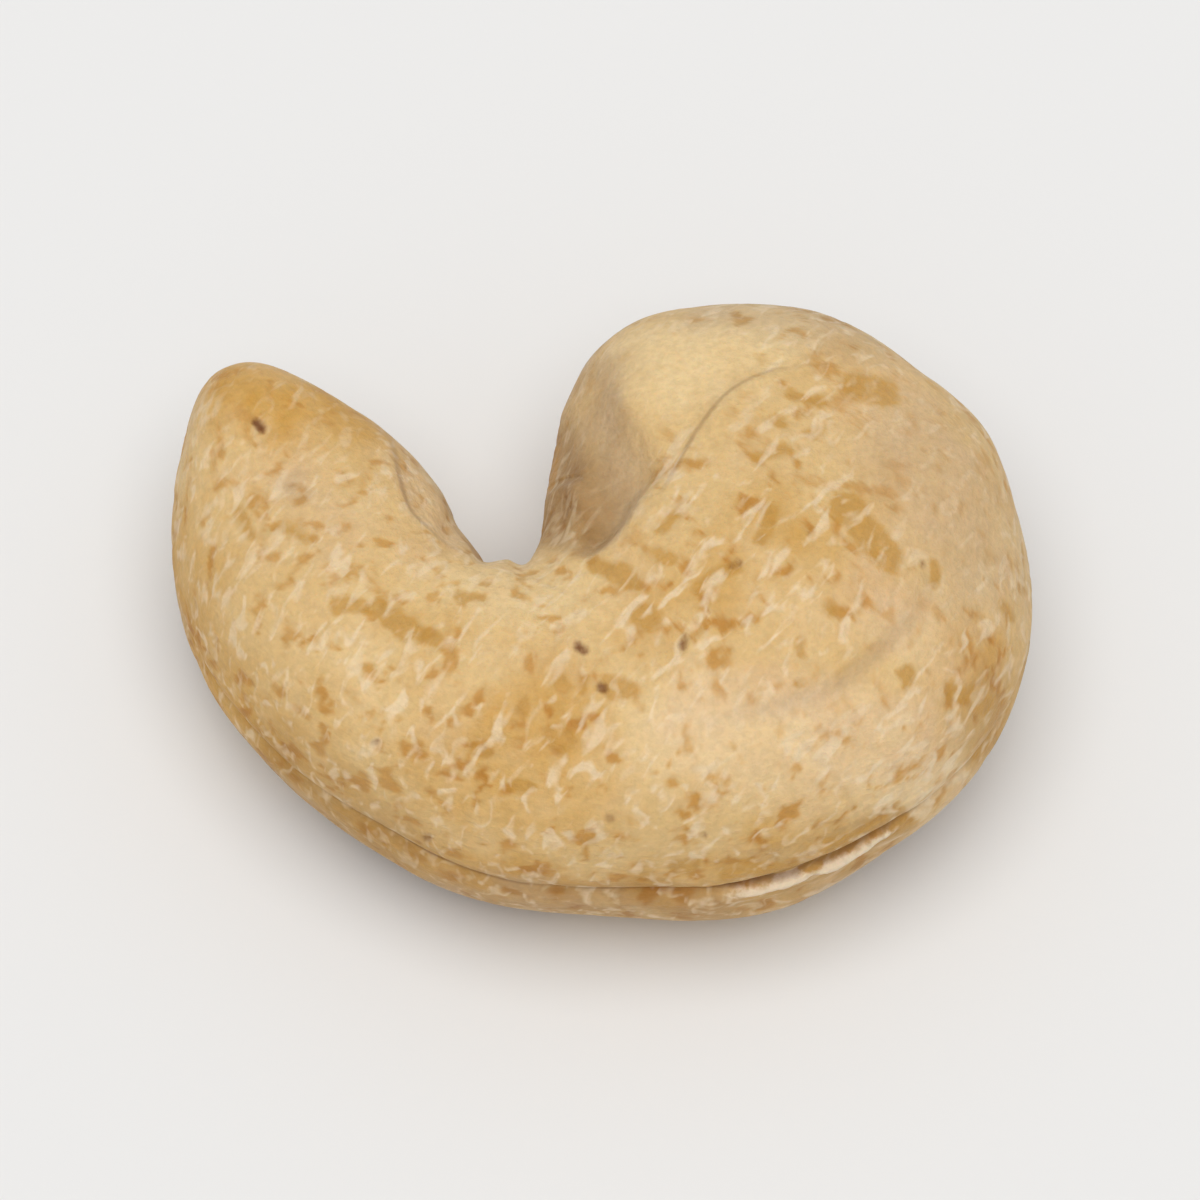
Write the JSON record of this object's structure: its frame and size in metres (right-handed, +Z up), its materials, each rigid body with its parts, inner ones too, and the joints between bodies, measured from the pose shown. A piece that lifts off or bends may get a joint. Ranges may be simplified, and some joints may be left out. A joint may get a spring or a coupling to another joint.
{
  "type": "cashew nut",
  "caption": "Whole shelled cashew kernel, a fat comma with a thin tapering tip, a rounded fat tip and a seam round its edge, lying on its side.",
  "frame": {"origin": "on the surface the kernel rests on, under the middle of its bounding box", "axes": "+X along the kernel's length towards the fat tip, +Y across it the way the hollow of the comma opens, +Z up through its thickness"},
  "size_m": [0.025, 0.0184, 0.0111],
  "materials": {
    "kernel": null
  },
  "bodies": {
    "root": {"cashew_kernel": "kernel"}
  },
  "joints": []
}
